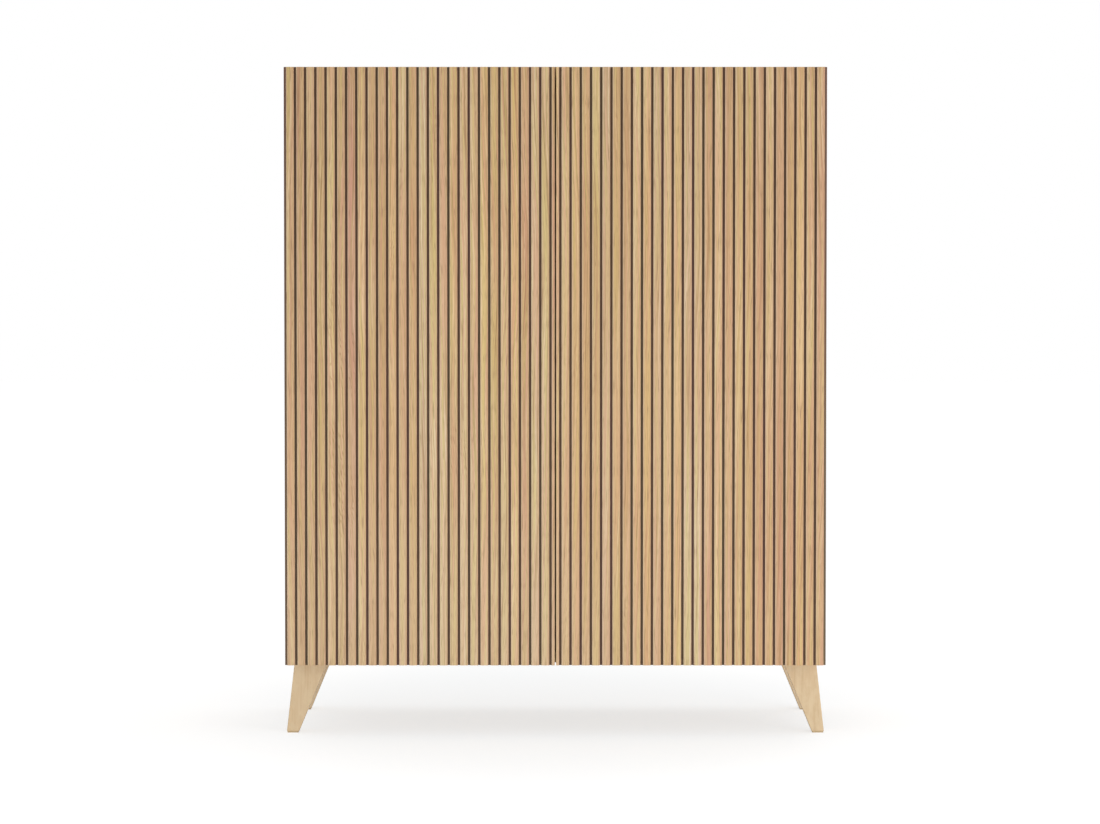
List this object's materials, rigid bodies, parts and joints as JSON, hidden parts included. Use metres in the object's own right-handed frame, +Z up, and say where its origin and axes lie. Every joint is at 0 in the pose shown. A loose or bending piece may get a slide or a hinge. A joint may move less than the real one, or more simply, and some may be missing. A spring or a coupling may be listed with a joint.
{
  "type": "two-door cabinet",
  "caption": "Handleless two-door storage cabinet with upright slatted oak fronts on a dark ground, adjustable shelves and splayed plank legs.",
  "frame": {"origin": "on the floor, at the middle of the cabinet's outline", "axes": "+X to the right seen from the front, +Y to the back, +Z up; the doors face -Y"},
  "size_m": [0.8, 0.4, 0.988],
  "materials": {
    "oak_board": "oak melamine, matt",
    "oak_slats": "oak, matt lacquer",
    "dark_board": "dark brown face, matt",
    "back_board": "oak printed board, matt",
    "leg_wood": "pale wood, matt lacquer",
    "dowel_wood": "raw beech",
    "nickel": "nickel plated",
    "zinc": "zinc plated",
    "latch_plastic": "satin",
    "plunger_plastic": "satin",
    "clear_bumper": "clear soft",
    "glide": "felt grey"
  },
  "bodies": {
    "carcass": {"top_panel": "oak_board", "bottom_panel": "oak_board", "left_side_panel": "oak_board", "right_side_panel": "oak_board", "upper_shelf": "oak_board", "lower_shelf": "oak_board", "back_panel": "back_board", "shelf_pins": "zinc", "cam_bolts": "zinc", "leg_bolts": "zinc", "leg_inserts": "zinc", "hinge_plate_screws": "zinc", "hinge_arm_screws": "zinc", "latch_screws": "zinc", "bracket_screws": "zinc", "cam_locks": "zinc", "wood_dowels": "dowel_wood", "front_left_leg": "leg_wood", "front_right_leg": "leg_wood", "rear_left_leg": "leg_wood", "rear_right_leg": "leg_wood", "leg_glides": "glide", "left_wall_bracket": "zinc", "right_wall_bracket": "zinc", "left_latch_housing": "latch_plastic", "left_lower_hinge_arm": "nickel", "left_lower_hinge_plate": "nickel", "left_upper_hinge_arm": "nickel", "left_upper_hinge_plate": "nickel", "right_latch_housing": "latch_plastic", "right_lower_hinge_arm": "nickel", "right_lower_hinge_plate": "nickel", "right_upper_hinge_arm": "nickel", "right_upper_hinge_plate": "nickel"},
    "left_door": {"left_door_board": "dark_board", "left_door_slats": "oak_slats", "left_lower_hinge_cup": "nickel", "left_lower_hinge_pin": "zinc", "left_upper_hinge_cup": "nickel", "left_upper_hinge_pin": "zinc", "left_cup_screws": "zinc", "left_strike_plate": "zinc", "left_door_bumpers": "clear_bumper"},
    "right_door": {"right_door_board": "dark_board", "right_door_slats": "oak_slats", "right_lower_hinge_cup": "nickel", "right_lower_hinge_pin": "zinc", "right_upper_hinge_cup": "nickel", "right_upper_hinge_pin": "zinc", "right_cup_screws": "zinc", "right_strike_plate": "zinc", "right_door_bumpers": "clear_bumper"},
    "left_plunger": {"left_latch_plunger": "plunger_plastic", "left_latch_magnet": "nickel"},
    "right_plunger": {"right_latch_plunger": "plunger_plastic", "right_latch_magnet": "nickel"}
  },
  "joints": [
    {"name": "left_door_swing", "type": "hinge", "parent": "carcass", "child": "left_door", "pos_m": [-0.3918, -0.1888, 0.5465], "axis": [0, 0, -1], "range_deg": [0, 95]},
    {"name": "right_door_swing", "type": "hinge", "parent": "carcass", "child": "right_door", "pos_m": [0.3918, -0.1888, 0.5465], "axis": [0, 0, 1], "range_deg": [0, 95]},
    {"name": "left_plunger_slide", "type": "slide", "parent": "carcass", "child": "left_plunger", "axis": [0, -1, 0], "range_m": [0, 0.014]},
    {"name": "right_plunger_slide", "type": "slide", "parent": "carcass", "child": "right_plunger", "axis": [0, -1, 0], "range_m": [0, 0.014]}
  ],
  "couplings": [
    {"joint": "left_plunger_slide", "follows": "left_door_swing", "m_per_rad": 0.00844},
    {"joint": "right_plunger_slide", "follows": "right_door_swing", "m_per_rad": 0.00844}
  ]
}
